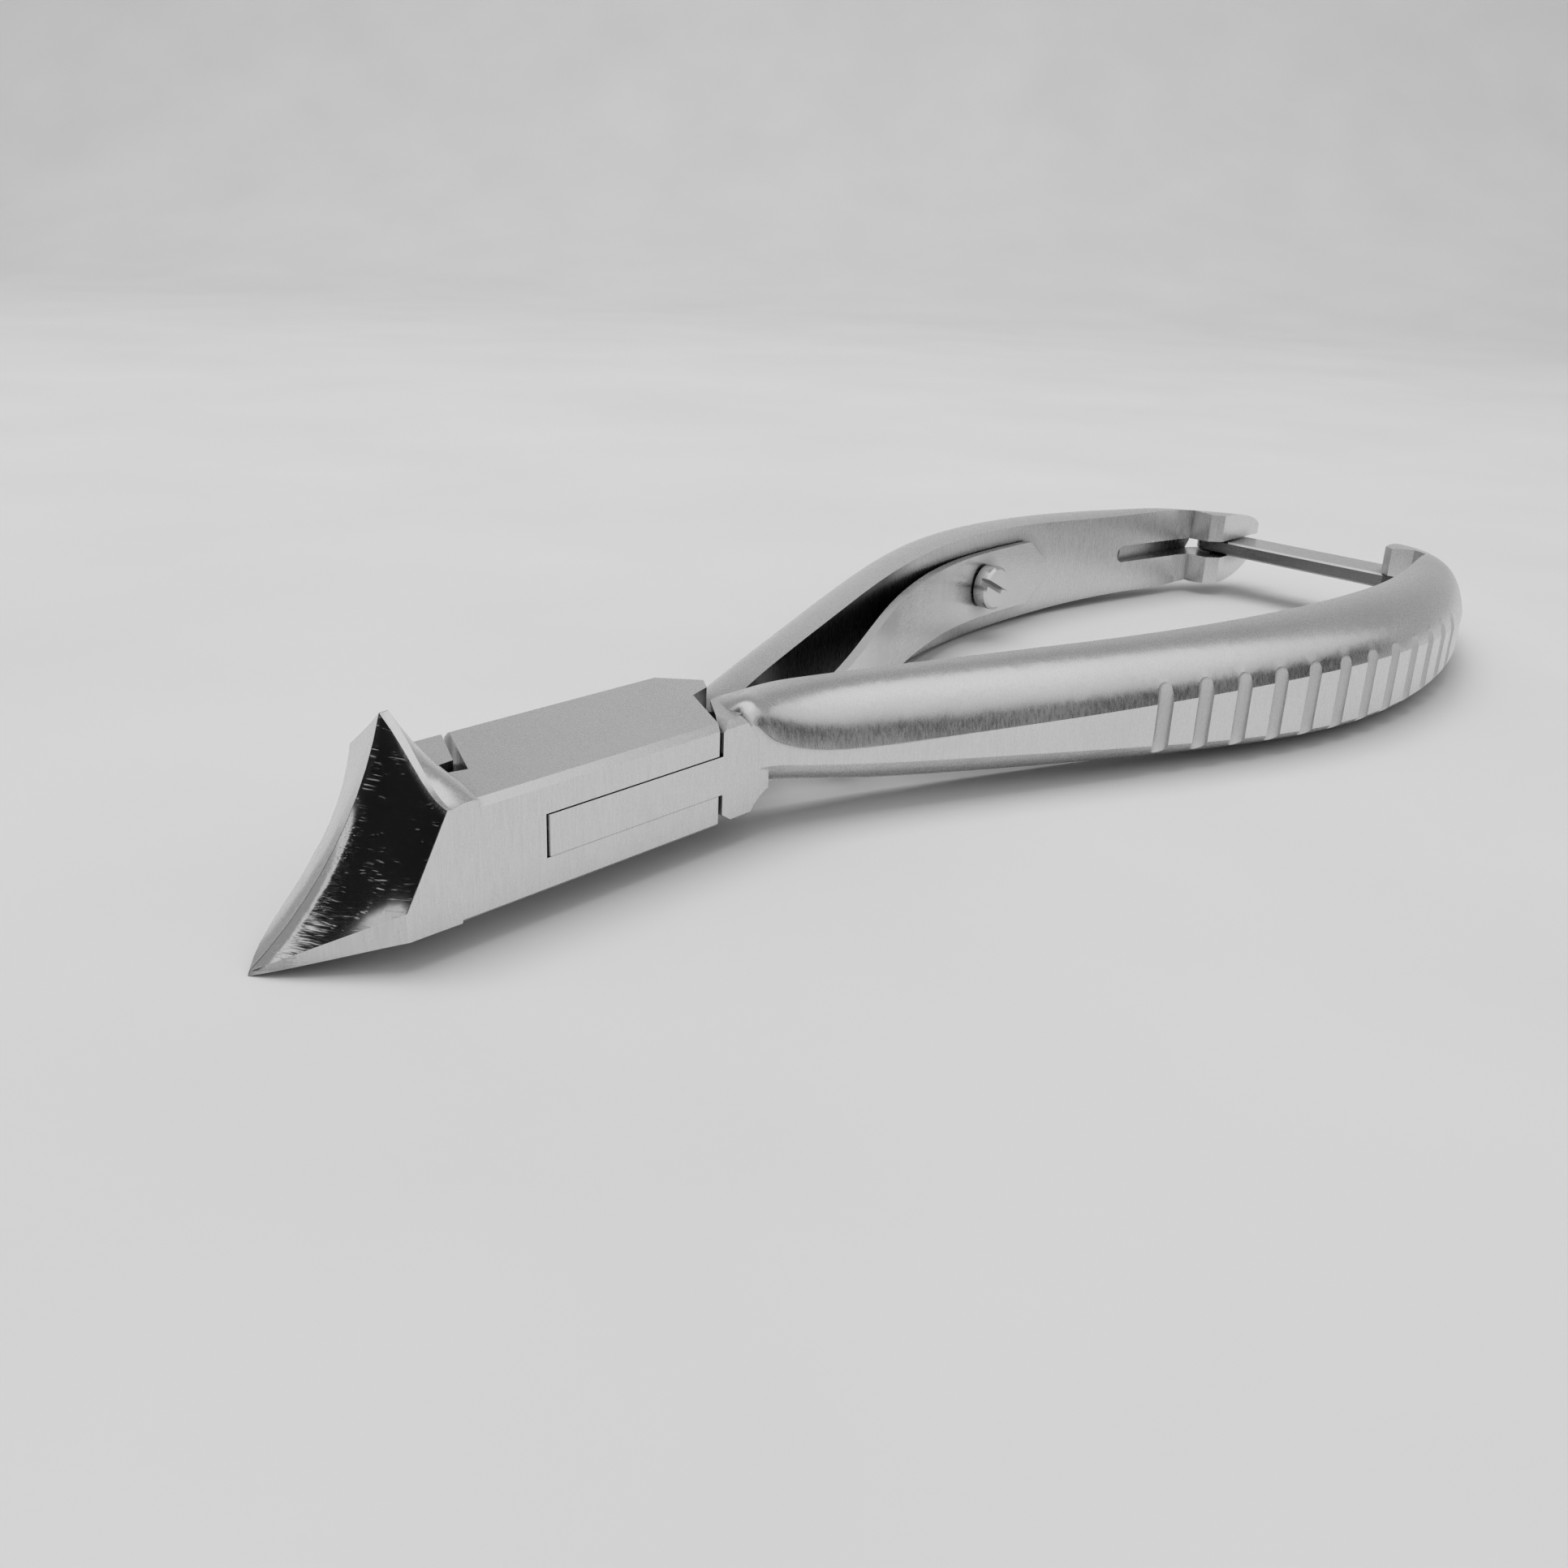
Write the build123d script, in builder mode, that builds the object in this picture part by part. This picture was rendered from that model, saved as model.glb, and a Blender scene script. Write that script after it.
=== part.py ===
"""Pedicure nail nipper with a box joint, crossed leaf springs and a swinging lock bar.

Millimetres.  The nipper lies flat and closed: +X runs from the jaws to the handle ends,
+Y is the side of the handle that carries the lock bar, and +Z is up.  The origin is the
centre of the footprint.  Both levers are one forging turned over, about the level mid-plane
at MID_Z, and differ only where they cross.
"""
from build123d import *
from math import exp
import os

os.makedirs("parts", exist_ok=True)

# ---------------------------------------------------------------- driving dimensions
LENGTH = 140.0
MID_Z = 5.55                    # height of the mid-plane above the table
PIVOT_X = -45.8                 # main pivot, on the centre line

# box joint
BOX_HALF_HEIGHT = 3.64
BOX_NEAR_Y = 5.07               # distance of the -Y flank from the centre line at BOX_REAR_X
BOX_FAR_Y = 6.0                 # the same for the +Y flank
BOX_SLANT = 0.03                # the box lies this much askew: its front leans towards -Y
BOX_REAR_X = -38.4              # rear corner of the cheeks on the near side
BOX_CHAMFER = 0.45              # along the upper edges
BOX_UNDER_CHAMFER = 0.2
TONGUE_TOP = 1.34
TONGUE_BOTTOM = -1.42
SLOT_HALF_HEIGHT = 1.44
HUB_RADIUS = 9.0
HUB_CLEARANCE = 0.24
PIN_RADIUS = 2.3
PIN_CLEARANCE = 0.05
WEB_GAP = 0.4                   # between the webs and the tongue's necks
BLOCK_FRONT_X = -38.1
BAR_FRONT_X = -62.2
BAR_REAR_X = -28.0
WEDGE_FRONT_X = -72.0           # the flat flanks are carried on to the jaws
WEDGE_REAR_X = -36.0

# plans of what each lever keeps of the box, listed round from the jaws
CHEEK_PLAN = [(-60.2, -7.0), (BOX_REAR_X, -7.0), (BOX_REAR_X, -5.07), (-35.3, 0.9), (-33.3, 1.6),
              (-32.3, 3.0), (-34.7, 5.7), (-35.0, 7.0), (-52.8, 7.0), (-52.8, 4.9), (-55.6, -1.1),
              (-57.0, -0.8), (-60.2, -0.8)]
FAR_JAW_PLAN = [(-59.2, 7.0), (-53.3, 7.0), (-53.3, 5.1), (-55.4, 0.75), (-57.0, 0.5), (-59.2, 0.5)]
WEB_FRONT_X = -60.0             # the slot and the tongue's neck run forward under the webs
WEB_REAR_X = -30.0
NECK_HALF_GAP = 0.5             # the tongue's front neck stops this far from the centre line
TONGUE_FRONT_X = -57.0
TONGUE_REAR_X = -34.0
WIDE_Y = 8.0                    # beyond both flanks

# the block at the root of the tongue lever's handle, in side view (x, height over the mid-plane)
BLOCK_FRONT = [(BLOCK_FRONT_X, -2.85), (BLOCK_FRONT_X, 2.95), (BLOCK_FRONT_X + 0.9, BOX_HALF_HEIGHT)]
BLOCK_UNDER = [(-35.3, -BOX_HALF_HEIGHT), (BLOCK_FRONT_X + 1.2, -BOX_HALF_HEIGHT), (BLOCK_FRONT_X, -2.85)]
BLOCK_SCOOP = (-34.55, -2.75)   # the scoop behind the lower corner passes through here
# rear outline and plan of the outer part, which runs out under the nose, and of the part beside
# the finger space
BLOCK_REARS = {
    "outer": [(-35.9, BOX_HALF_HEIGHT), (-35.2, 2.6), (-34.2, 1.2), (-33.4, 0.0), (-33.4, -2.1)],
    "inner": [(-29.0, BOX_HALF_HEIGHT), (-29.0, -1.8), (-33.4, -2.1)]}
BLOCK_PLANS = {
    "outer": [(BLOCK_FRONT_X, -4.6), (BLOCK_FRONT_X + 0.45, -7.0), (-33.0, -7.0), (-33.0, -3.4),
              (-37.2, -3.4)],
    "inner": [(BLOCK_FRONT_X, -4.6), (BLOCK_FRONT_X + 0.2, -4.8), (-35.6, -4.2), (-29.0, -4.2), (-29.0, -2.2),
              (-34.0, -0.46), (-35.2, -0.75)]}

# jaws
EDGE_TOP = (-60.7, 8.0)         # (x, height over the mid-plane) of the upper cutting point
EDGE_MIDDLE = (-64.15, 0.51)
EDGE_BOTTOM = (-70.0, -5.55)
EDGE_GAP = 0.02                 # half the light gap between the closed edges
OBLIQUE = 0.09                  # rearward slant of the head per mm towards +Y
JAW_FLANK_Y = 5.7
JAW_OUTSIDE_Y = 6.2             # the head is formed to here, then trimmed to the flanks
# Side outline of a jaw as (x, height over the mid-plane): at the cutting edge, and at the flat
# flank before the head is slanted.
JAW_AT_EDGE = {
    "rear_top": (-56.6, BOX_HALF_HEIGHT), "flare": (-58.75, 6.05), "land": (-60.1, 8.05), "tip": EDGE_TOP,
    "middle": EDGE_MIDDLE, "low": (-69.9, -5.3), "toe": EDGE_BOTTOM, "rear_bottom": (-62.5, -BOX_HALF_HEIGHT)}
JAW_AT_FLANK = {
    "rear_top": (-57.5, BOX_HALF_HEIGHT), "flare": (-58.5, 3.72), "land": (-59.4, 3.93), "tip": (-59.7, 3.95),
    "middle": (-61.08, 1.2), "low": (-62.85, -1.85), "toe": (-62.8, -BOX_HALF_HEIGHT),
    "rear_bottom": (-59.0, -BOX_HALF_HEIGHT)}
# For each side: distance from the cutting edge, forward bulge of the bevel there, and how far
# the upper ridge falls back and dips.
JAW_SECTIONS = {
    -1: [(EDGE_GAP, 0.0, 0.0, 0.0), (1.2, 0.36, 0.2, 0.45), (2.8, 0.30, 0.2, 0.9),
         (JAW_OUTSIDE_Y, 0.0, 0.0, 0.0)],
    1: [(EDGE_GAP, 0.0, 0.0, 0.0), (1.2, 0.30, 0.0, -0.05), (2.8, 0.15, -0.1, -0.1),
        (JAW_OUTSIDE_Y, 0.0, -0.4, -0.3)]}
RELIEF_START = 0.5              # hollow ground behind the edges
RELIEF_HALF_WIDTH = 1.4
RELIEF_DEPTH = 8.5
RELIEF_LINE = [(-58.6, 12.2), (-63.6, 0.9), (-74.0, -8.3)]  # just behind the edge, past both ends

# handles
OUTER_LINE = [(-35.6, 4.93), (-33.0, 5.12), (-30.1, 5.9), (-14.6, 11.9), (1.4, 18.5), (18.4, 23.7),
              (30.4, 24.8), (47.4, 22.6), (60.0, 17.8), (66.9, 13.3), (69.7, 9.4), (70.1, 5.5)]
INNER_LINE = [(-34.1, 0.3), (-30.6, 1.35), (-14.6, 7.0), (1.4, 13.3), (17.4, 17.6), (33.4, 18.4),
              (49.4, 16.1), (57.4, 14.5)]
EDGE_HEIGHT = (3.5, 1.54)       # half height of the inner edge: at the ends, and added by the swell
CREST_HEIGHT = (4.7, 0.8)       # the same for the crest of the rounded back
FLANK_HEIGHT = (0.85, 1.7)      # the same for the flat flank between its two creases
SWELL_X = 21.4
SWELL_LENGTH = 30.0
FLANK_SHIFT = 1.25              # the flat flank lies this far from the mid-plane, away from the nose
CREASE_RISE = 4.3               # how far the crease climbs as it rounds the nose
CREASE_FADE = 3.0
NOSE_LENGTH = 2.6
NOSE_HEIGHT = 3.3               # half height of the nose's end, buried in the block
NOSE_STEP = 0.3                 # the nose stands this proud of the flank
STEP_FADE = 8.0
NECK_X = -33.0                  # the side away from the nose is necked in here
NECK_LOSS = 0.5
NECK_FADE = 9.0
TOP_FADE = 10.0                 # beside the nose the top is level with the box, then it rounds over
FRONT_STATIONS = (0.0, 0.9, 2.1, 3.7)
HANDLE_STATIONS = 22
HANDLE_DEPTH = 7.0              # before the finger space is cut
FRONT_DEPTH = 4.1
SHOULDER_SET_IN = 0.9
HOOK_START = 0.82               # where the hook begins along the outer line
HOOK_EXTRA_DEPTH = 6.5
HOOK_TAPER = 0.24               # loss of height at the end of the hook
HOOK_FRONT_X = 59.05
HOOK_END_Y = {1: 10.3, -1: 9.1}  # flat ends of the hooks face each other here
SPACE_FRONT_X = -37.0           # the finger space runs into the box this far
HOOK_LEAD = 3.6                 # the inner wall turns towards the hook this far before its end
HOOK_CORNER = 1.2               # and its corner is cut off by this much
BACK_RISE = 1.42                # control height that brings the rounded back up to its crest
BACK_REACH = 0.6                # where along the depth that control lies
SHOULDER_LIFT = (0.93, 0.45)    # shoulder's share of the crest height: rounded, and added where level
NOSE_CREASE_SHARE = 0.75        # the crease stays below this share of the nose's height
EDGE_UNDER_CREST = 0.3
LEDGE_HEIGHT = 0.1              # the nose's step runs out over this height at the crease
GROOVES = 12
GROOVE_FIRST_LENGTH = 36.75     # along the outer line
GROOVE_LENGTH = 5.9
GROOVE_PITCH = 4.05
GROOVE_RADIUS = 0.8
GROOVE_SET_OUT = 0.12

# leaf springs and their screws
LEAF_THICKNESS = 0.8
LEAF_LINE = [(33.6, 17.92), (23.4, 17.70), (16.4, 16.75), (8.7, 14.5), (0.9, 11.3), (-14.3, 3.2),
             (-22.6, -1.1)]
LEAF_HALF_HEIGHT = 3.4
FORK_SLOT_HALF_HEIGHT = 1.5
TONGUE_LEAF_HALF_HEIGHT = 1.2
FORK_ROOT_X = -16.4
LEAF_TIP_X = -26.0              # beyond the free ends
LEAF_SIDE_VIEW = [(33.6, 0.9), (33.6, -0.9), (30.4, -3.4), (9.0, -3.4), (LEAF_TIP_X, -2.8),
                  (LEAF_TIP_X, 2.8), (9.0, 3.4), (30.4, 3.4)]
TONGUE_ROOT_X = -15.2
SCREW_X = 21.5
SCREW_WALL_Y = 18.07            # the wall beside the screw, and its slope in plan
SCREW_WALL_SLOPE = 0.05
SCREW_HEAD_RADIUS = 2.25
SCREW_HEAD_HEIGHT = 1.5
SCREW_SHANK_RADIUS = 1.25
SCREW_SHANK_LENGTH = 3.2
LEAF_HOLE_RADIUS = 1.4
SCREW_SLOT_WIDTH = 0.7
SCREW_SLOT_DEPTH = 0.8
SCREW_SLOT_TURN = -25.0
SCREW_CHAMFER = 0.25
SCREW_STAND = 0.45              # between the leaf's face and the screw head

# lock bar
LOCK_PIVOT = (64.2, 12.6)
LOCK_ANGLE = -93.8              # direction of the closed bar, degrees from +X
LOCK_LENGTH = 23.8
LOCK_HALF_WIDTH = 2.6
LOCK_HALF_THICKNESS = 0.8
LOCK_PIN_RADIUS = 1.0
LOCK_PIN_HALF_LENGTH = 3.2
LOCK_SLOT_HALF_HEIGHT = 0.95
LOCK_SLOT_FLOOR_Y = 17.5
LOCK_CATCH_FLOOR_Y = -12.6
LOCK_SLOT_FRONT_X = 48.0        # middle of the slot's round end
LOCK_CATCH_FRONT_X = 57.05
LOCK_SLOT_FALL = 1.5            # the slot's floor comes this much nearer the middle at the pivot
LOCK_CLEARANCE = 0.4
LOCK_TIP_BEVEL = 1.6            # the free end is narrowed over this length
LOCK_TIP_HALF_WIDTH = 1.2
LOCK_CHAMFER = 0.2
PAST_END_X = 75.0               # beyond the handle ends

TALL = 30.0                     # generous size of cutting tools
MID = Plane.XY.offset(MID_Z)


def swelling(heights, x):
    """A half height of the handle's section at x: slim at both ends, swelling in the palm."""
    ends, swell = heights
    return ends + swell * exp(-(((x - SWELL_X) / SWELL_LENGTH) ** 2))


def box_plan(front, rear):
    """Corners of the box's plan between two stations along X."""
    corners = []
    for x in (front, rear):
        lean = BOX_SLANT * (BOX_REAR_X - x)
        corners.append(((x, -BOX_NEAR_Y - lean), (x, BOX_FAR_Y - lean)))
    return [corners[0][1], corners[0][0], corners[1][0], corners[1][1]]


def side_plane(y):
    """Plane facing -Y whose local x is X and whose local y is the height over the mid-plane."""
    return Plane(origin=(0, y, MID_Z), x_dir=(1, 0, 0), z_dir=(0, -1, 0))


def cross_plane(x):
    """Plane facing +X whose local x is Y and whose local y is the height over the mid-plane."""
    return Plane(origin=(x, 0, MID_Z), x_dir=(0, 1, 0), z_dir=(1, 0, 0))


def tapered_bar():
    """The chamfered bar that holds the box joint."""
    with BuildPart() as bar:
        with BuildSketch(MID.offset(-BOX_HALF_HEIGHT)):
            Polygon(*box_plan(BAR_FRONT_X, BAR_REAR_X), align=None)
        extrude(amount=2 * BOX_HALF_HEIGHT)
        length = BAR_REAR_X - BAR_FRONT_X
        top, underside = bar.faces().sort_by(Axis.Z)[-1], bar.faces().sort_by(Axis.Z)[0]
        chamfer(top.edges().filter_by(lambda edge: edge.length > length / 2), BOX_CHAMFER)
        chamfer(underside.edges().filter_by(lambda edge: edge.length > length / 2), BOX_UNDER_CHAMFER)
    return bar.part


def flank_wedge():
    """Everything between the two flat flanks of the box, carried on to the jaws."""
    with BuildPart() as wedge:
        with BuildSketch(MID.offset(-TALL / 2)):
            Polygon(*box_plan(WEDGE_FRONT_X, WEDGE_REAR_X), align=None)
        extrude(amount=TALL)
    return wedge.part


def jaw(side):
    """Half of the head.  side is -1 for the jaw towards -Y and +1 for the other."""
    beveled = ("middle", "low", "toe")
    ridge = ("land", "tip")
    with BuildPart() as head:
        for y, bulge, fall_back, dip in JAW_SECTIONS[side]:
            weight = y / JAW_FLANK_Y
            points = {}
            for name, edge in JAW_AT_EDGE.items():
                flank = JAW_AT_FLANK[name]
                x = edge[0] + (flank[0] - edge[0]) * weight + side * OBLIQUE * y
                height = edge[1] + (flank[1] - edge[1]) * weight
                if name in beveled:
                    x -= bulge
                if name in ridge:
                    x += fall_back
                    height -= dip
                points[name] = (x, height)
            with BuildSketch(side_plane(side * y)):
                with BuildLine():
                    ThreePointArc(points["rear_top"], points["flare"], points["land"])
                    Line(points["land"], points["tip"])
                    ThreePointArc(points["tip"], points["middle"], points["low"])
                    Line(points["low"], points["toe"])
                    Line(points["toe"], points["rear_bottom"])
                    Line(points["rear_bottom"], points["rear_top"])
                make_face()
        loft()
        add(flank_wedge(), mode=Mode.INTERSECT)
        add(edge_relief(), mode=Mode.SUBTRACT)
    return head.part


def edge_relief():
    """Hollow ground along the back of both cutting edges, carried past both ends of the edge."""
    with BuildPart() as relief:
        with BuildLine(side_plane(0)) as edge:
            ThreePointArc(*RELIEF_LINE)
        section = Plane(origin=edge.line @ 0, x_dir=(0, 1, 0), z_dir=edge.line % 0)
        with BuildSketch(section):
            with BuildLine():
                Polyline((0, RELIEF_START), (RELIEF_HALF_WIDTH, RELIEF_DEPTH / 2),
                         (RELIEF_HALF_WIDTH, RELIEF_DEPTH), (-RELIEF_HALF_WIDTH, RELIEF_DEPTH),
                         (-RELIEF_HALF_WIDTH, RELIEF_DEPTH / 2), (0, RELIEF_START))
            make_face()
        sweep(path=edge.line)
    return relief.part


def handle_shell(side):
    """Forged handle outside, from its bullet nose to its hook.  side is +1 towards +Y.

    Both levers are one shape turned over: the nose is on top of the -Y handle and under the +Y one.
    """
    with BuildPart() as shell:
        with BuildLine(MID) as outline:
            Spline([(x, side * y) for x, y in OUTER_LINE])
        length = outline.edges()[0].length
        pitch = length / HANDLE_STATIONS
        stations = [*FRONT_STATIONS, *(pitch * index for index in range(1, HANDLE_STATIONS + 1))]
        for station in stations:
            fraction = station / length
            origin = outline.line @ fraction
            heading = outline.line % fraction
            outward = Vector(heading.Y * side, -heading.X * side, 0) * -1
            hook = max(0.0, (fraction - HOOK_START) / (1 - HOOK_START))
            nose = (1 - (1 - min(1.0, station / NOSE_LENGTH)) ** 2) ** 0.5
            neck = 1 - NECK_LOSS * exp(-max(0.0, origin.X - NECK_X) / NECK_FADE)
            taper = 1 - HOOK_TAPER * hook
            edge = swelling(EDGE_HEIGHT, origin.X) * (1 - HOOK_TAPER * hook / 2)
            crest = swelling(CREST_HEIGHT, origin.X) * taper
            flat = swelling(FLANK_HEIGHT, origin.X) * taper
            crease = flat - FLANK_SHIFT + CREASE_RISE * exp(-station / CREASE_FADE)
            step = NOSE_STEP * (2 * nose - 1) * exp(-station / STEP_FADE)
            depth = (FRONT_DEPTH + (HANDLE_DEPTH - FRONT_DEPTH) * min(1.0, station / pitch)
                     + HOOK_EXTRA_DEPTH * hook ** 1.5)
            rounded = 1 - exp(-station / TOP_FADE)
            nose_crest = NOSE_HEIGHT + (crest - NOSE_HEIGHT) * nose
            nose_edge = min(edge, nose_crest - EDGE_UNDER_CREST)
            # in the section's own frame the nose is always on the negative side
            halves = {-1: (nose_edge, nose_crest, min(crease, NOSE_CREASE_SHARE * nose_crest), step),
                      1: (edge * neck, crest * neck, flat * neck + FLANK_SHIFT * (2 * neck - 1), 0.0)}
            with BuildSketch(Plane(origin=origin, x_dir=outward, z_dir=heading)):
                with BuildLine():
                    for up, (edge_height, crest_height, crease_height, ledge) in halves.items():
                        rise = edge_height + BACK_RISE * (crest_height - edge_height) * rounded
                        shoulder = crest_height * (SHOULDER_LIFT[0] + SHOULDER_LIFT[1] * (1 - rounded))
                        Bezier((-depth, up * edge_height), (-BACK_REACH * depth, up * rise),
                               (ledge - SHOULDER_SET_IN, up * shoulder), (ledge, up * crease_height))
                        Line((0, up * (crease_height - LEDGE_HEIGHT)), (ledge, up * crease_height))
                        Line((0, 0), (0, up * (crease_height - LEDGE_HEIGHT)))
                        Line((-depth, 0), (-depth, up * edge_height))
                make_face()
        loft()
    return shell.part


def finger_space():
    """The opening between the handles, with the step at each hook and the gap between the hooks."""
    with BuildPart() as space:
        with BuildSketch(MID.offset(-TALL / 2)):
            with BuildLine():
                for side in (1, -1):
                    wall = [(x, side * y) for x, y in INNER_LINE]
                    Spline(wall)
                    end = side * HOOK_END_Y[side]
                    Polyline(wall[-1], (HOOK_FRONT_X, end + side * HOOK_LEAD),
                             (HOOK_FRONT_X, end + side * HOOK_CORNER), (HOOK_FRONT_X + HOOK_CORNER, end),
                             (LENGTH, end), (LENGTH, 0))
                    Polyline(wall[0], (SPACE_FRONT_X, wall[0][1]), (SPACE_FRONT_X, 0))
            make_face()
        extrude(amount=TALL)
    return space.part


def handle(side):
    """A handle with its inner wall and hook cut out."""
    with BuildPart() as arm:
        add(handle_shell(side))
        add(finger_space(), mode=Mode.SUBTRACT)
    return arm.part


def grooves(side):
    """Grip grooves across the outer flank of a handle."""
    with BuildPart() as cutters:
        with BuildLine(MID) as outline:
            Spline([(x, side * y) for x, y in OUTER_LINE])
        line = outline.edges()[0]
        for index in range(GROOVES):
            fraction = (GROOVE_FIRST_LENGTH + index * GROOVE_PITCH) / line.length
            heading = line % fraction
            outward = Vector(heading.Y, -heading.X, 0) * -side
            place = line @ fraction + outward * GROOVE_SET_OUT + Vector(0, 0, side * FLANK_SHIFT)
            with Locations(place):
                Cylinder(GROOVE_RADIUS, GROOVE_LENGTH)
                with Locations((0, 0, GROOVE_LENGTH / 2), (0, 0, -GROOVE_LENGTH / 2)):
                    Sphere(GROOVE_RADIUS)
    return cutters.part


def leaf_strip(side, half_height):
    """A leaf spring blank of one height, following its handle and then crossing the middle."""
    line = [(x, side * y) for x, y in LEAF_LINE]
    with BuildPart() as strip:
        with BuildSketch(MID.offset(-half_height)):
            with BuildLine() as middle:
                Spline(line)
            trace(middle.line, line_width=LEAF_THICKNESS)
        extrude(amount=2 * half_height)
    return strip.part


def screw_plane(side):
    """Plane on a handle's inner wall at its screw, facing the finger space."""
    return Plane(origin=(SCREW_X, side * SCREW_WALL_Y, MID_Z), x_dir=(1, side * SCREW_WALL_SLOPE, 0),
                 z_dir=(SCREW_WALL_SLOPE, -side, 0))


def box_outline(points):
    """A full-height prism over a plan outline, trimmed to the chamfered bar."""
    with BuildPart() as prism:
        with BuildSketch(MID.offset(-TALL / 2)):
            Polygon(*points, align=None)
        extrude(amount=TALL)
        add(tapered_bar(), mode=Mode.INTERSECT)
    return prism.part


def block():
    """The square block at the root of the tongue lever's handle, scooped out behind its lower corner."""
    with BuildPart() as root:
        for name, rear in BLOCK_REARS.items():
            with BuildPart() as slab:
                with BuildSketch(side_plane(0)):
                    with BuildLine():
                        Polyline(*BLOCK_FRONT, *rear)
                        ThreePointArc(rear[-1], BLOCK_SCOOP, BLOCK_UNDER[0])
                        Polyline(*BLOCK_UNDER)
                    make_face()
                extrude(amount=TALL / 2, both=True)
                with BuildSketch(MID.offset(-TALL / 2)):
                    Polygon(*BLOCK_PLANS[name], align=None)
                extrude(amount=TALL, mode=Mode.INTERSECT)
                add(tapered_bar(), mode=Mode.INTERSECT)
            add(slab.part)
    return root.part


# ---------------------------------------------------------------- levers
near_jaw = jaw(-1)
far_jaw = jaw(1)

with BuildPart() as box_lever:
    add(box_outline(CHEEK_PLAN))
    add(handle(1))
    add(near_jaw)
    # room for the tongue, open to both flanks
    with BuildSketch(MID.offset(-SLOT_HALF_HEIGHT)):
        with Locations((PIVOT_X, 0)):
            Circle(HUB_RADIUS + HUB_CLEARANCE)
        Polygon((WEB_FRONT_X, -WEB_GAP), (PIVOT_X, -WEB_GAP), (PIVOT_X, WIDE_Y), (WEB_FRONT_X, WIDE_Y),
                align=None)
        Polygon((PIVOT_X, -WIDE_Y), (WEB_REAR_X, -WIDE_Y), (WEB_REAR_X, WEB_GAP), (PIVOT_X, WEB_GAP),
                align=None)
    extrude(amount=2 * SLOT_HALF_HEIGHT, mode=Mode.SUBTRACT)
    with Locations((PIVOT_X, 0, MID_Z)):
        Cylinder(PIN_RADIUS, TALL, mode=Mode.SUBTRACT)
    # slot in which the lock bar turns and folds away
    with BuildSketch(MID.offset(-LOCK_SLOT_HALF_HEIGHT)):
        with Locations(LOCK_PIVOT):
            Circle(LOCK_HALF_WIDTH + LOCK_CLEARANCE)
        Polygon((LOCK_SLOT_FRONT_X, 0.0), (LOCK_SLOT_FRONT_X, LOCK_SLOT_FLOOR_Y),
                (LOCK_PIVOT[0], LOCK_SLOT_FLOOR_Y - LOCK_SLOT_FALL), LOCK_PIVOT,
                (PAST_END_X, LOCK_PIVOT[1]), (PAST_END_X, 0.0), align=None)
    extrude(amount=2 * LOCK_SLOT_HALF_HEIGHT, mode=Mode.SUBTRACT)
    with BuildSketch(side_plane(0)):
        with Locations((LOCK_SLOT_FRONT_X, 0)):
            Circle(LOCK_SLOT_HALF_HEIGHT)
    extrude(amount=-LOCK_SLOT_FLOOR_Y, mode=Mode.SUBTRACT)
    with Locations((*LOCK_PIVOT, MID_Z)):
        Cylinder(LOCK_PIN_RADIUS, 2 * LOCK_PIN_HALF_LENGTH, mode=Mode.SUBTRACT)
    add(grooves(1), mode=Mode.SUBTRACT)
    with BuildSketch(screw_plane(1)):
        Circle(SCREW_SHANK_RADIUS)
    extrude(amount=-SCREW_SHANK_LENGTH, mode=Mode.SUBTRACT)

with BuildPart() as tongue_lever:
    with BuildSketch(MID.offset(TONGUE_BOTTOM)):
        with Locations((PIVOT_X, 0)):
            Circle(HUB_RADIUS)
        Polygon((TONGUE_FRONT_X, NECK_HALF_GAP), (PIVOT_X, NECK_HALF_GAP), (PIVOT_X, WIDE_Y),
                (TONGUE_FRONT_X, WIDE_Y), align=None)
        Polygon((PIVOT_X, -WIDE_Y), (TONGUE_REAR_X, -WIDE_Y), (TONGUE_REAR_X, -WEB_GAP),
                (PIVOT_X, -WEB_GAP), align=None)
    extrude(amount=TONGUE_TOP - TONGUE_BOTTOM)
    add(flank_wedge(), mode=Mode.INTERSECT)
    add(box_outline(FAR_JAW_PLAN))
    add(block())
    add(handle(-1))
    add(far_jaw)
    with Locations((PIVOT_X, 0, MID_Z)):
        Cylinder(PIN_RADIUS + PIN_CLEARANCE, TALL, mode=Mode.SUBTRACT)
    # slot that takes the free end of the lock bar
    with BuildSketch(MID.offset(-LOCK_SLOT_HALF_HEIGHT)):
        Polygon((LOCK_CATCH_FRONT_X, 0.0), (PAST_END_X, 0.0), (PAST_END_X, LOCK_CATCH_FLOOR_Y),
                (LOCK_CATCH_FRONT_X, LOCK_CATCH_FLOOR_Y), align=None)
    extrude(amount=2 * LOCK_SLOT_HALF_HEIGHT, mode=Mode.SUBTRACT)
    add(grooves(-1), mode=Mode.SUBTRACT)
    with BuildSketch(screw_plane(-1)):
        Circle(SCREW_SHANK_RADIUS)
    extrude(amount=-SCREW_SHANK_LENGTH, mode=Mode.SUBTRACT)

with BuildPart() as pivot_pin:
    with Locations((PIVOT_X, 0, MID_Z)):
        Cylinder(PIN_RADIUS, 2 * BOX_HALF_HEIGHT)

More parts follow.
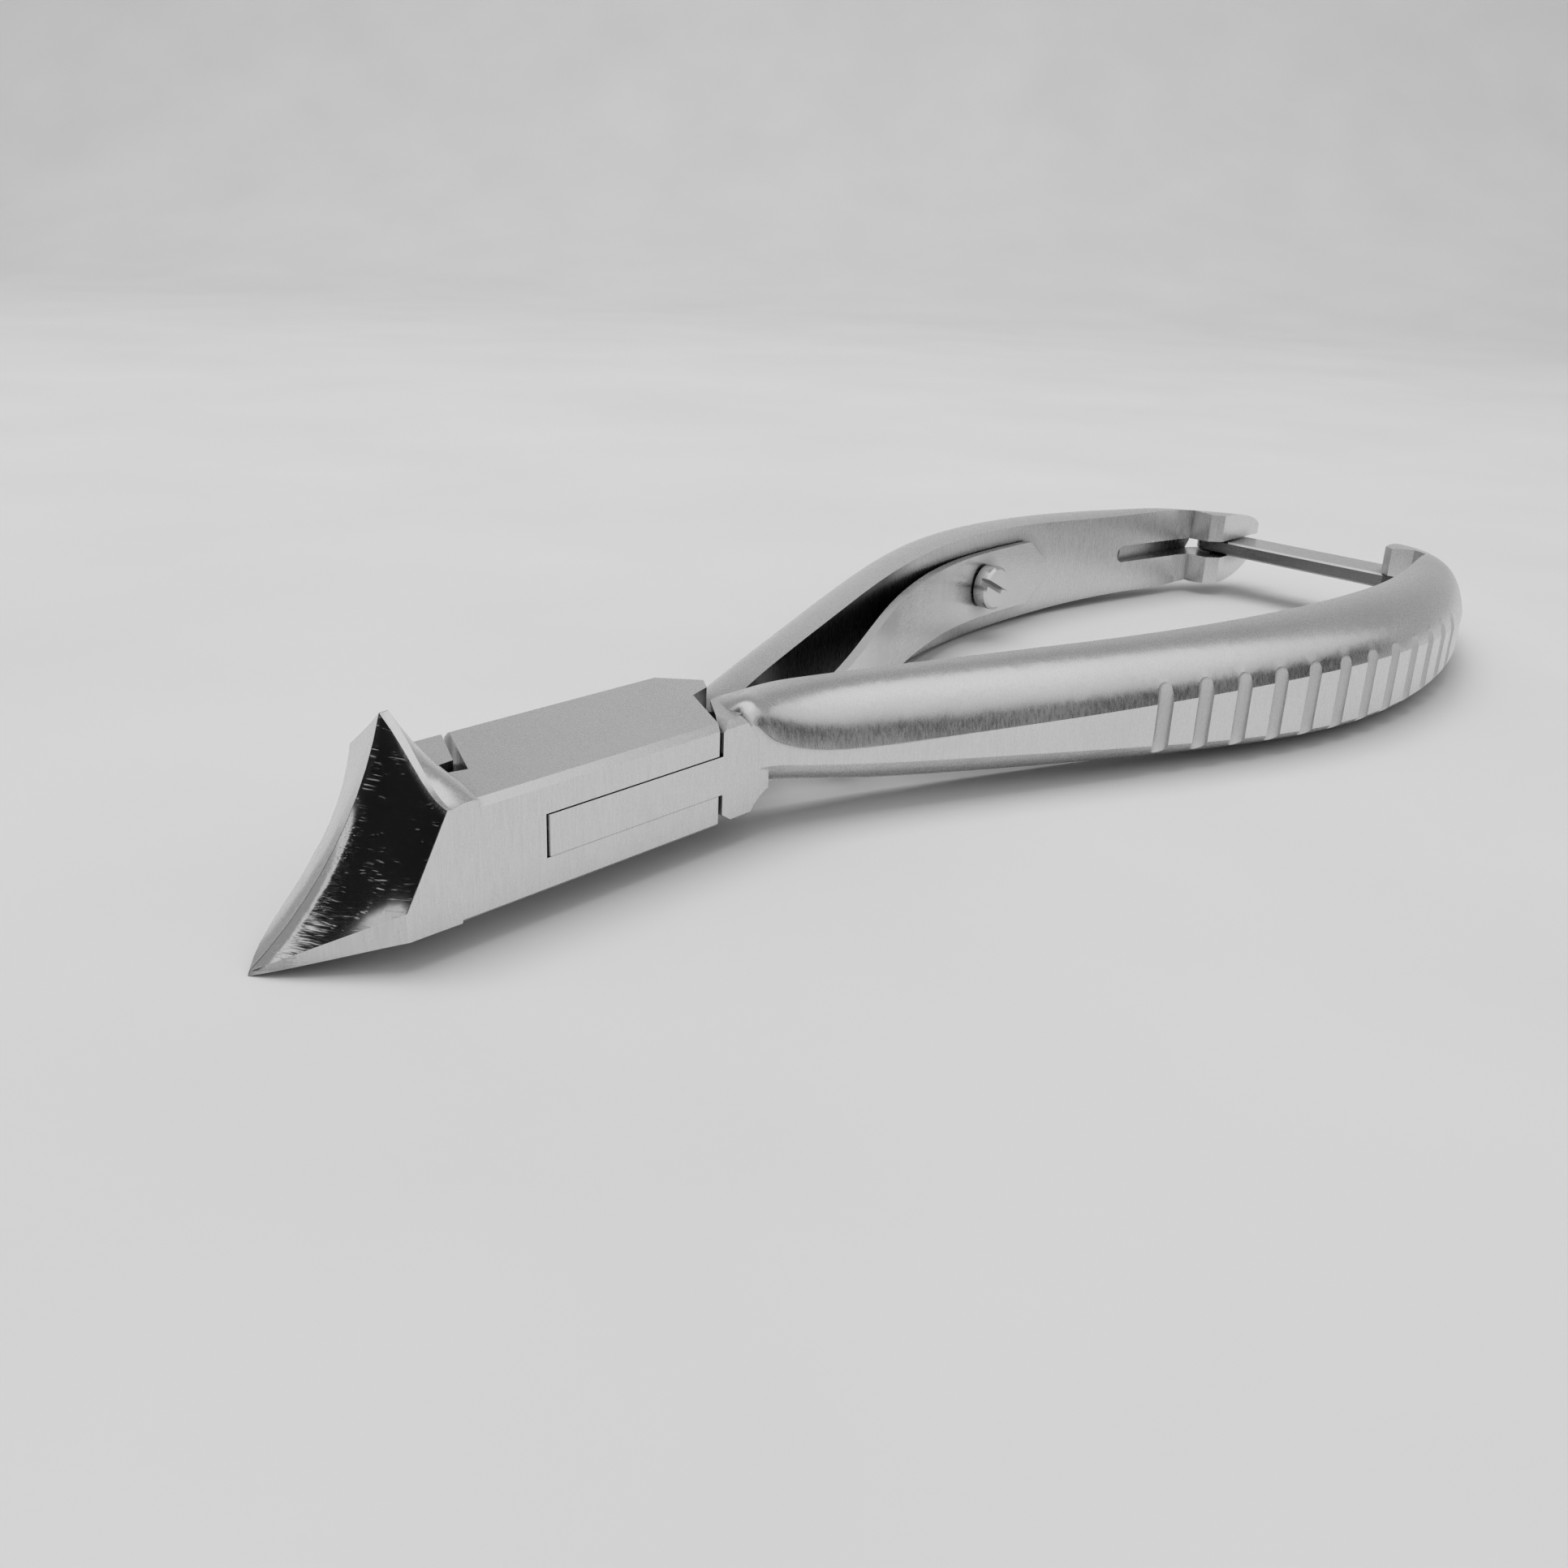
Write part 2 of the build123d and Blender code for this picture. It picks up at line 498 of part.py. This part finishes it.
# ---------------------------------------------------------------- springs
with BuildPart() as fork_leaf:
    add(leaf_strip(1, LEAF_HALF_HEIGHT))
    with BuildSketch(side_plane(0)):
        Polygon(*LEAF_SIDE_VIEW, align=None)
    extrude(amount=TALL, both=True, mode=Mode.INTERSECT)
    with BuildSketch(side_plane(0)):
        Polygon((LEAF_TIP_X, -FORK_SLOT_HALF_HEIGHT), (FORK_ROOT_X, -FORK_SLOT_HALF_HEIGHT),
                (FORK_ROOT_X, FORK_SLOT_HALF_HEIGHT), (LEAF_TIP_X, FORK_SLOT_HALF_HEIGHT), align=None)
    extrude(amount=TALL, both=True, mode=Mode.SUBTRACT)
    with BuildSketch(screw_plane(1)):
        Circle(LEAF_HOLE_RADIUS)
    extrude(amount=TALL / 3, both=True, mode=Mode.SUBTRACT)

with BuildPart() as tongue_leaf:
    add(leaf_strip(-1, LEAF_HALF_HEIGHT))
    with BuildSketch(side_plane(0)):
        Polygon(*LEAF_SIDE_VIEW, align=None)
    extrude(amount=TALL, both=True, mode=Mode.INTERSECT)
    for half in (1, -1):
        with BuildSketch(side_plane(0)):
            Polygon((LEAF_TIP_X, half * TONGUE_LEAF_HALF_HEIGHT),
                    (TONGUE_ROOT_X, half * TONGUE_LEAF_HALF_HEIGHT),
                    (TONGUE_ROOT_X, half * TALL), (LEAF_TIP_X, half * TALL), align=None)
        extrude(amount=TALL, both=True, mode=Mode.SUBTRACT)
    with BuildSketch(screw_plane(-1)):
        Circle(LEAF_HOLE_RADIUS)
    extrude(amount=TALL / 3, both=True, mode=Mode.SUBTRACT)

screws = []
for side in (1, -1):
    with BuildPart() as screw:
        with BuildSketch(screw_plane(side).offset(LEAF_THICKNESS + SCREW_STAND)):
            Circle(SCREW_HEAD_RADIUS)
        extrude(amount=SCREW_HEAD_HEIGHT)
        top = screw.faces().sort_by(Axis.Y)[0 if side > 0 else -1]
        chamfer(top.edges(), SCREW_CHAMFER)
        with BuildSketch(screw_plane(side).offset(LEAF_THICKNESS + SCREW_STAND + SCREW_HEAD_HEIGHT)):
            Rectangle(3 * SCREW_HEAD_RADIUS, SCREW_SLOT_WIDTH, rotation=SCREW_SLOT_TURN)
        extrude(amount=-SCREW_SLOT_DEPTH, mode=Mode.SUBTRACT)
        with BuildSketch(screw_plane(side).offset(LEAF_THICKNESS + SCREW_STAND)):
            Circle(SCREW_SHANK_RADIUS)
        extrude(amount=-(LEAF_THICKNESS + SCREW_STAND + SCREW_SHANK_LENGTH))
    screws.append(screw)

# ---------------------------------------------------------------- lock
with BuildPart() as lock_bar:
    with BuildSketch(Plane(origin=(*LOCK_PIVOT, MID_Z - LOCK_HALF_THICKNESS)).rotated((0, 0, LOCK_ANGLE))):
        Circle(LOCK_HALF_WIDTH)
        Polygon((0, -LOCK_HALF_WIDTH), (LOCK_LENGTH - LOCK_TIP_BEVEL, -LOCK_HALF_WIDTH),
                (LOCK_LENGTH, -LOCK_TIP_HALF_WIDTH), (LOCK_LENGTH, LOCK_TIP_HALF_WIDTH),
                (LOCK_LENGTH - LOCK_TIP_BEVEL, LOCK_HALF_WIDTH), (0, LOCK_HALF_WIDTH), align=None)
        Circle(LOCK_PIN_RADIUS + PIN_CLEARANCE, mode=Mode.SUBTRACT)
    extrude(amount=2 * LOCK_HALF_THICKNESS)
    chamfer(lock_bar.edges().filter_by(lambda edge: abs(edge.tangent_at(0).Z) < 0.1
            and edge.length > 5 * LOCK_HALF_WIDTH), LOCK_CHAMFER)

with BuildPart() as lock_pin:
    with Locations((*LOCK_PIVOT, MID_Z)):
        Cylinder(LOCK_PIN_RADIUS, 2 * LOCK_PIN_HALF_LENGTH)

# ---------------------------------------------------------------- write one file per piece
pieces = {
    "box_lever": box_lever, "tongue_lever": tongue_lever, "pivot_pin": pivot_pin,
    "fork_leaf_spring": fork_leaf, "tongue_leaf_spring": tongue_leaf,
    "fork_leaf_screw": screws[0], "tongue_leaf_screw": screws[1],
    "lock_bar": lock_bar, "lock_pin": lock_pin}
for name, piece in pieces.items():
    piece.part.label = name
    export_step(piece.part, f"parts/{name}.step")
    box = piece.part.bounding_box()
    print(f"{name}: {piece.part.volume:.1f} mm3, {len(piece.part.solids())} solid(s), {box.min} to {box.max}")
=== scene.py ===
from math import radians, sin, cos, pi

import bpy
import bmesh
from mathutils import Matrix, Vector


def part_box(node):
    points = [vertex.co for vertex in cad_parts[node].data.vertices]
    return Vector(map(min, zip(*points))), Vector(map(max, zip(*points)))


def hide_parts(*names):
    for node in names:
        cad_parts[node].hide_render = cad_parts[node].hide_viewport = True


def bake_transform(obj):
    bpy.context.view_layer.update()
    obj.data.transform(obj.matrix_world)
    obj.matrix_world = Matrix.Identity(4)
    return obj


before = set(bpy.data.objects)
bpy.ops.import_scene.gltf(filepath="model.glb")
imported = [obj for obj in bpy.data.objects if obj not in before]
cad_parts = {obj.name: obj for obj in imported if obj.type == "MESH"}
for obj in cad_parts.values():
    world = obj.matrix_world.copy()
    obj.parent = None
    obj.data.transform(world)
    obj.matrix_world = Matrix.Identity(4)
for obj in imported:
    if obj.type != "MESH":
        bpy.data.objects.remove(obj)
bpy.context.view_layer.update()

MM = 0.001

# places on the nipper, in millimetres
BOX_REAR_X = -38.4              # rear corner of the box on the -Y side
BOX_NEAR_Y = 5.07               # the -Y flank's distance from the centre line there
BOX_SLANT = 0.03                # and its slant in plan
BEVEL_REAR_X = -60.3
BEVEL_SET_IN = 0.04             # the bevel starts this far inside the flank
BEVEL_TOP_Z, BEVEL_LOW_Z = 13.0, 1.0
TOE_Z = 0.3                     # the toe below this height isn't polished
# each leaf spring copy is cut into this many slices along X
LEAF_CUTS = 40

# finishes; sizes in millimetres
BRUSHING_DEPTH = 0.012
BRUSHING_STRENGTH = 0.35
CREVICE_SHADE_REACH = 1.6               # painted shade: grooves, gaps and corners darken over this distance
# how dark the painted shade in grooves and corners makes the base colour
CREVICE_SHADE_TINT = 0.3
MIRROR_ROUGHNESS = 0.13
MIRROR_TINT = 0.9
SCRATCH_ROUGHNESS = 0.4
SCRATCH_SIZE = (0.09, 2.2, 0.09)
SCRATCH_TURNS = ((0, 8, 20), (0, -12, 36))
FEATHER_TURN = (0, 0, 28)
EDGE_BAND = (0.6, 3.0)          # width of the rounded band beside the cutting edge, at its top and bottom
EDGE_LIFT = 0.38                # how far the band's surface turns upwards
PAINTED_SHADE_END_X = 8.0               # painted shade on the inner walls reaches back to here
PAINTED_SHADE_FADE = 8.0
# how dark the painted shade makes the base colour
PAINTED_SHADE_TINT = 0.14
SIDE_PAINTED_SHADE_SHARE = 0.8        # share of that painted shade on the lock bar's sides

# stage, in metres
PAPER = (0.60, 0.63)
FLOOR_START, FLOOR_END = -1.6, 0.55
BACKDROP_TOP = 2.2
BEND_RADIUS, BEND_STEPS = 0.35, 14
SWEEP_HALF_WIDTH = 2.5
HORIZON_LIGHT, ZENITH_LIGHT = 0.45, 0.8
SOFTBOX_PLACE = (0.05, 0.15, 0.9)
SOFTBOX_SIZE = 0.7
SOFTBOX_POWER = 4.5

# ---------------------------------------------------------------- camera
CAMERA_PLACE = Vector((-102.72, -70.44, 40.87)) * MM
CAMERA_YAW = radians(47.28)
CAMERA_PITCH = radians(21.26)
CAMERA_ROLL = radians(2.46)
CAMERA_LENS = 33.52
CAMERA_SENSOR = 36.0


def camera_axes():
    """Right, up and forward of the camera."""
    level = Vector((sin(CAMERA_YAW), cos(CAMERA_YAW), 0))
    forward = level * cos(CAMERA_PITCH) - Vector((0, 0, sin(CAMERA_PITCH)))
    level_right = forward.cross(Vector((0, 0, 1))).normalized()
    level_up = level_right.cross(forward)
    right = cos(CAMERA_ROLL) * level_right + sin(CAMERA_ROLL) * level_up
    up = -sin(CAMERA_ROLL) * level_right + cos(CAMERA_ROLL) * level_up
    return right, up, forward


def add_camera():
    data = bpy.data.cameras.new("camera")
    data.lens = CAMERA_LENS
    data.sensor_width = CAMERA_SENSOR
    data.clip_start = 1 * MM
    data.clip_end = 20.0
    camera = bpy.data.objects.new("camera", data)
    right, up, forward = camera_axes()
    turn = Matrix((right, up, -forward)).transposed().to_4x4()
    camera.matrix_world = Matrix.Translation(CAMERA_PLACE) @ turn
    bpy.context.scene.collection.objects.link(camera)
    bpy.context.scene.camera = camera


# ---------------------------------------------------------------- node helpers
class Nodes:
    """Short calls for building one material's node tree."""

    def __init__(self, name):
        self.material = bpy.data.materials.new(name)
        self.material.use_nodes = True
        self.tree = self.material.node_tree
        self.shader = self.tree.nodes["Principled BSDF"]
        self.space = self.tree.nodes.new("ShaderNodeTexCoord")

    def add(self, kind, **settings):
        node = self.tree.nodes.new(kind)
        for key, value in settings.items():
            setattr(node, key, value)
        return node

    def link(self, source, target):
        self.tree.links.new(source, target)

    def feed(self, socket, value):
        if isinstance(value, bpy.types.NodeSocket):
            self.link(value, socket)
        else:
            socket.default_value = value

    def math(self, operation, a, b=0.0):
        node = self.add("ShaderNodeMath", operation=operation)
        self.feed(node.inputs[0], a)
        self.feed(node.inputs[1], b)
        return node.outputs[0]

    def stretched(self, scale):
        """Object coordinates scaled to that many noise cells per millimetre."""
        node = self.add("ShaderNodeMapping")
        self.link(self.space.outputs["Object"], node.inputs["Vector"])
        node.inputs["Scale"].default_value = [v / MM for v in scale]
        return node.outputs["Vector"]

    def along(self, size, turn):
        """Object coordinates turned first, then measured in marks of that size in millimetres."""
        node = self.add("ShaderNodeMapping", vector_type="TEXTURE")
        self.link(self.space.outputs["Object"], node.inputs["Vector"])
        node.inputs["Rotation"].default_value = [radians(v) for v in turn]
        node.inputs["Scale"].default_value = [v * MM for v in size]
        return node.outputs["Vector"]

    def noise(self, vector, detail=2.0, roughness=0.5):
        node = self.add("ShaderNodeTexNoise")
        self.link(vector, node.inputs["Vector"])
        node.inputs["Scale"].default_value = 1.0
        node.inputs["Detail"].default_value = detail
        node.inputs["Roughness"].default_value = roughness
        return node.outputs["Fac"]

    def ramp(self, value, low, high, to_low=0.0, to_high=1.0):
        node = self.add("ShaderNodeMapRange", clamp=True)
        self.feed(node.inputs["Value"], value)
        node.inputs["From Min"].default_value = low
        node.inputs["From Max"].default_value = high
        node.inputs["To Min"].default_value = to_low
        node.inputs["To Max"].default_value = to_high
        return node.outputs["Result"]

    def mix(self, share, a, b):
        node = self.add("ShaderNodeMix", data_type="FLOAT")
        self.feed(node.inputs["Factor"], share)
        self.feed(node.inputs["A"], a)
        self.feed(node.inputs["B"], b)
        return node.outputs["Result"]

    def grey(self, value):
        node = self.add("ShaderNodeCombineColor")
        for name in ("Red", "Green", "Blue"):
            self.feed(node.inputs[name], value)
        return node.outputs["Color"]

    def parts(self, vector):
        """The X, Y and Z outputs of a vector."""
        node = self.add("ShaderNodeSeparateXYZ")
        self.link(vector, node.inputs["Vector"])
        return node.outputs

    def lifted(self, amount):
        """The surface's normal, turned upwards by that amount."""
        lift = self.add("ShaderNodeCombineXYZ")
        self.link(amount, lift.inputs["Z"])
        tilt = self.add("ShaderNodeVectorMath", operation="ADD")
        self.link(self.add("ShaderNodeNewGeometry").outputs["Normal"], tilt.inputs[0])
        self.link(lift.outputs["Vector"], tilt.inputs[1])
        unit = self.add("ShaderNodeVectorMath", operation="NORMALIZE")
        self.link(tilt.outputs["Vector"], unit.inputs[0])
        return unit.outputs["Vector"]

    def bump(self, height, under=None):
        node = self.add("ShaderNodeBump")
        node.inputs["Distance"].default_value = BRUSHING_DEPTH * MM
        node.inputs["Strength"].default_value = BRUSHING_STRENGTH
        self.link(height, node.inputs["Height"])
        if under is not None:
            self.link(under, node.inputs["Normal"])
        return node.outputs["Normal"]


def brushed_steel(name, tint, roughness, brushing):
    """Satin steel: brushing is how fast the grain changes along X, Y and Z, per millimetre."""
    n = Nodes(name)
    satin(n, tint, roughness, brushing)
    return n.material


def satin(n, tint, roughness, brushing, mirror=None, band=None, shade=None):
    """Fill a material with satin steel.

    Optional masks: mirror for polished, scratched areas, band for where they round over, and
    shade for where painted shade darkens the colour.
    """
    lines = n.noise(n.stretched(brushing), detail=3.0, roughness=0.6)
    broad = n.noise(n.stretched((0.12, 0.12, 0.12)), detail=2.0)
    fine = n.noise(n.stretched((9, 9, 9)), detail=2.0, roughness=0.6)
    value = n.mix(n.ramp(lines, 0.3, 0.7), tint * 0.94, tint * 1.04)
    value = n.math("MULTIPLY", value, n.ramp(broad, 0.3, 0.7, 0.97, 1.02))
    rough = n.math("ADD", n.ramp(lines, 0.3, 0.7, roughness - 0.04, roughness + 0.05),
                   n.ramp(broad, 0.3, 0.7, -0.02, 0.02))
    height = n.mix(0.5, lines, fine)
    if mirror is not None:
        marks = scratches(n)
        value = n.mix(mirror, value, n.math("MULTIPLY", value, MIRROR_TINT))
        scratched = n.math("ADD", n.math("MULTIPLY", marks, SCRATCH_ROUGHNESS), MIRROR_ROUGHNESS)
        rough = n.mix(mirror, rough, scratched)
        height = n.mix(mirror, height, marks)
    if shade is not None:
        # painted shade: the shade mask darkens the base colour
        value = n.mix(shade, value, n.math("MULTIPLY", value, PAINTED_SHADE_TINT))
    # painted shade: ambient occlusion darkens the base colour in grooves, gaps, creases and near the
    # floor
    crevice = n.add("ShaderNodeAmbientOcclusion", samples=6)
    crevice.inputs["Distance"].default_value = CREVICE_SHADE_REACH * MM
    value = n.math("MULTIPLY", value, n.ramp(crevice.outputs["AO"], 0.35, 0.95, CREVICE_SHADE_TINT, 1.0))
    n.link(n.grey(value), n.shader.inputs["Base Color"])
    n.shader.inputs["Metallic"].default_value = 1.0
    n.link(rough, n.shader.inputs["Roughness"])
    under = None if band is None else n.lifted(n.math("MULTIPLY", band, EDGE_LIFT))
    n.link(n.bump(height, under), n.shader.inputs["Normal"])


def scratches(n):
    """Short scattered scratches, running across the near bevel from the cutting edge to the flank."""
    marks = None
    for turn in SCRATCH_TURNS:
        streak = n.noise(n.along(SCRATCH_SIZE, turn), detail=1.0, roughness=0.4)
        patch = n.noise(n.along((1.0, 1.4, 1.0), turn), detail=1.0)
        line = n.math("MULTIPLY", n.ramp(streak, 0.6, 0.76), n.ramp(patch, 0.5, 0.68))
        marks = line if marks is None else n.math("MAXIMUM", marks, line)
    return marks


def lever_steel():
    """The levers' steel: satin all over, with a polished bevel on the -Y jaw."""
    n = Nodes("forged_satin_steel")
    x, y, z = n.parts(n.space.outputs["Object"])
    flank = n.math("ADD", n.math("MULTIPLY", x, -BOX_SLANT), (BOX_NEAR_Y + BOX_REAR_X * BOX_SLANT) * MM)
    inside = n.ramp(n.math("SUBTRACT", n.math("ADD", y, flank), BEVEL_SET_IN * MM), 0.0, 0.03 * MM)
    ahead = n.ramp(x, BEVEL_REAR_X * MM, (BEVEL_REAR_X - 0.2) * MM)
    near_side = n.ramp(y, 0.01 * MM, -0.01 * MM)
    bevel = n.math("MULTIPLY", n.math("MULTIPLY", inside, ahead), near_side)
    bevel = n.math("MULTIPLY", bevel, n.ramp(z, TOE_Z * MM, 2 * TOE_Z * MM))
    # the bevel rounds over towards the cutting edge, more so low down, with a feathered border
    width = n.ramp(z, BEVEL_TOP_Z * MM, BEVEL_LOW_Z * MM, EDGE_BAND[0] * MM, EDGE_BAND[1] * MM)
    feather = n.noise(n.along(SCRATCH_SIZE, FEATHER_TURN), detail=1.0)
    width = n.math("MULTIPLY", width, n.ramp(feather, 0.3, 0.7, 0.75, 1.25))
    from_edge = n.math("DIVIDE", n.math("ABSOLUTE", y), width)
    band = n.math("MULTIPLY", bevel, n.ramp(from_edge, 0.2, 1.1, 1.0, 0.0))
    satin(n, 0.78, 0.27, (6.0, 6.0, 0.5), mirror=bevel, band=band, shade=inner_wall_painted_shade(n, x, y))
    return n.material


def inner_wall_painted_shade(n, x, y):
    """Mask of painted shade on the inner walls between the handles and their leaf springs."""
    facing = n.parts(n.add("ShaderNodeNewGeometry").outputs["True Normal"])
    inward = n.math("MULTIPLY", facing["Y"], n.math("SIGN", y))
    reach = n.ramp(x, PAINTED_SHADE_END_X * MM, (PAINTED_SHADE_END_X - PAINTED_SHADE_FADE) * MM)
    hidden = n.math("MULTIPLY", n.ramp(inward, -0.3, -0.5), reach)
    return n.math("MULTIPLY", hidden, n.ramp(x, (BOX_REAR_X + 3) * MM, (BOX_REAR_X + 5) * MM))


def lock_steel():
    """The lock bar's steel: bright on its faces, with painted shade on its sides."""
    n = Nodes("lock_steel")
    facing = n.parts(n.add("ShaderNodeNewGeometry").outputs["True Normal"])
    # painted shade on the lock bar's sides, where the normal is near level
    edge = n.ramp(n.math("ABSOLUTE", facing["Z"]), 0.5, 0.3)
    satin(n, 0.74, 0.26, (5.0, 0.5, 5.0), shade=n.math("MULTIPLY", edge, SIDE_PAINTED_SHADE_SHARE))
    return n.material


def wear(node_name, material):
    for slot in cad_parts[node_name].material_slots:
        slot.material = material


# ---------------------------------------------------------------- leaf springs
def blended_leaf(node_name, material):
    """A leaf spring cut finely enough to flex.

    The copy replaces the CAD leaf, which is hidden.
    """
    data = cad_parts[node_name].data.copy()
    form = bmesh.new()
    form.from_mesh(data)
    low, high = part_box(node_name)
    for step in range(1, LEAF_CUTS):
        place = (low[0] + (high[0] - low[0]) * step / LEAF_CUTS, 0, 0)
        everything = form.verts[:] + form.edges[:] + form.faces[:]
        bmesh.ops.bisect_plane(form, geom=everything, plane_co=place, plane_no=(1, 0, 0), dist=1e-7)
    form.to_mesh(data)
    form.free()
    if data.has_custom_normals:
        data.attributes.remove(data.attributes["custom_normal"])
    data.shade_smooth()
    data.set_sharp_from_angle(angle=radians(30))
    piece = bpy.data.objects.new(node_name + "_flexing", data)
    bpy.context.scene.collection.objects.link(piece)
    for slot in piece.material_slots:
        slot.material = material
    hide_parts(node_name)
    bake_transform(piece)


# ---------------------------------------------------------------- stage
def add_sheet(name, rows, smooth, material):
    """A stage sheet whose faces join rows of two corners."""
    data = bpy.data.meshes.new(name)
    form = bmesh.new()
    corners = [[form.verts.new(place) for place in row] for row in rows]
    for low, high in zip(corners, corners[1:]):
        form.faces.new((low[0], low[1], high[1], high[0]))
    bmesh.ops.recalc_face_normals(form, faces=form.faces)
    for face in form.faces:
        face.smooth = smooth
    form.to_mesh(data)
    form.free()
    data.materials.append(material)
    sheet = bpy.data.objects.new(name, data)
    bpy.context.scene.collection.objects.link(sheet)
    return sheet


def add_stage():
    """One sheet: a level floor that turns up softly into a backdrop far behind the nipper."""
    forward = camera_axes()[2]
    away = Vector((forward.x, forward.y, 0)).normalized()
    across = Vector((away.y, -away.x, 0))
    profile = [(FLOOR_START, 0.0), (-0.4, 0.0), (0.3, 0.0), (FLOOR_END, 0.0)]
    for step in range(1, BEND_STEPS + 1):
        angle = 0.5 * pi * step / BEND_STEPS
        profile.append((FLOOR_END + BEND_RADIUS * sin(angle), BEND_RADIUS * (1 - cos(angle))))
    profile.append((FLOOR_END + BEND_RADIUS, BACKDROP_TOP))
    rows = [[away * distance + across * side + Vector((0, 0, height))
             for side in (-SWEEP_HALF_WIDTH, SWEEP_HALF_WIDTH)] for distance, height in profile]
    n = Nodes("paper")
    mottle = n.noise(n.stretched((0.02, 0.02, 0.02)), detail=3.0)
    n.link(n.grey(n.ramp(mottle, 0.3, 0.7, *PAPER)), n.shader.inputs["Base Color"])
    n.shader.inputs["Roughness"].default_value = 0.85
    add_sheet("sweep", rows, True, n.material)


def add_card(name, centre, azimuth, elevation, distance, width, height, shade):
    """A card seen only in the steel's reflections.

    Sizes are in millimetres, and angles in degrees as seen from its centre point.
    """
    a, e = radians(azimuth), radians(elevation)
    outward = Vector((cos(a) * cos(e), sin(a) * cos(e), sin(e)))
    across = Vector((-sin(a), cos(a), 0))
    rise = outward.cross(across)
    middle = Vector(centre) * MM + outward * distance * MM
    rows = [[middle + across * u * width * MM / 2 + rise * v * height * MM / 2 for u in (-1, 1)]
            for v in (-1, 1)]
    n = Nodes(name + "_felt")
    nap = n.noise(n.stretched((0.05, 0.05, 0.05)))
    n.link(n.grey(n.ramp(nap, 0.0, 1.0, shade * 0.8, shade * 1.2)), n.shader.inputs["Base Color"])
    n.shader.inputs["Roughness"].default_value = 0.9
    n.shader.inputs["Specular IOR Level"].default_value = 0.0
    card = add_sheet(name, rows, False, n.material)
    card.visible_camera = False
    card.visible_shadow = False
    card.visible_diffuse = False


def add_dark_cards():
    # one beside the jaws, one low beyond the near handle
    add_card("jaw_card", centre=(-63, 0, 5), azimuth=160, elevation=22, distance=150,
             width=170, height=150, shade=0.005)
    add_card("handle_card", centre=(0, -15, 5), azimuth=-66, elevation=9, distance=400,
             width=520, height=120, shade=0.03)


def add_softbox():
    """A soft light over the nipper, which the steel doesn't mirror."""
    data = bpy.data.lights.new("softbox", "AREA")
    data.shape = "RECTANGLE"
    data.size = SOFTBOX_SIZE
    data.size_y = SOFTBOX_SIZE
    data.energy = SOFTBOX_POWER
    light = bpy.data.objects.new("softbox", data)
    aim = (-Vector(SOFTBOX_PLACE)).to_track_quat("-Z", "Y").to_matrix().to_4x4()
    light.matrix_world = Matrix.Translation(SOFTBOX_PLACE) @ aim
    light.visible_glossy = False
    bpy.context.scene.collection.objects.link(light)


def add_room():
    """A studio brighter overhead than at the horizon."""
    world = bpy.data.worlds.new("room")
    world.use_nodes = True
    tree = world.node_tree
    background = tree.nodes["Background"]
    direction = tree.nodes.new("ShaderNodeTexCoord")
    axes = tree.nodes.new("ShaderNodeSeparateXYZ")
    tree.links.new(direction.outputs["Generated"], axes.inputs["Vector"])
    rise = tree.nodes.new("ShaderNodeMapRange")
    tree.links.new(axes.outputs["Z"], rise.inputs["Value"])
    rise.inputs["From Max"].default_value = 0.8
    rise.inputs["To Min"].default_value = HORIZON_LIGHT
    rise.inputs["To Max"].default_value = ZENITH_LIGHT
    tree.links.new(rise.outputs["Result"], background.inputs["Strength"])
    background.inputs["Color"].default_value = (1, 1, 1, 1)
    bpy.context.scene.world = world


# ---------------------------------------------------------------- build
add_camera()
add_stage()
add_dark_cards()
add_room()
add_softbox()
bpy.context.scene.view_settings.view_transform = "Standard"

steel = lever_steel()
for name in ("box_lever", "tongue_lever"):
    wear(name, steel)
wear("pivot_pin", brushed_steel("pin_steel", 0.77, 0.26, (6.0, 6.0, 0.5)))
leaf = brushed_steel("leaf_steel", 0.76, 0.24, (0.5, 0.5, 7.0))
for name in ("fork_leaf_spring", "tongue_leaf_spring"):
    wear(name, leaf)
screw = brushed_steel("screw_steel", 0.76, 0.2, (5.0, 5.0, 5.0))
for name in ("fork_leaf_screw", "tongue_leaf_screw", "lock_pin"):
    wear(name, screw)
wear("lock_bar", lock_steel())

blended_leaf("fork_leaf_spring", leaf)
blended_leaf("tongue_leaf_spring", leaf)
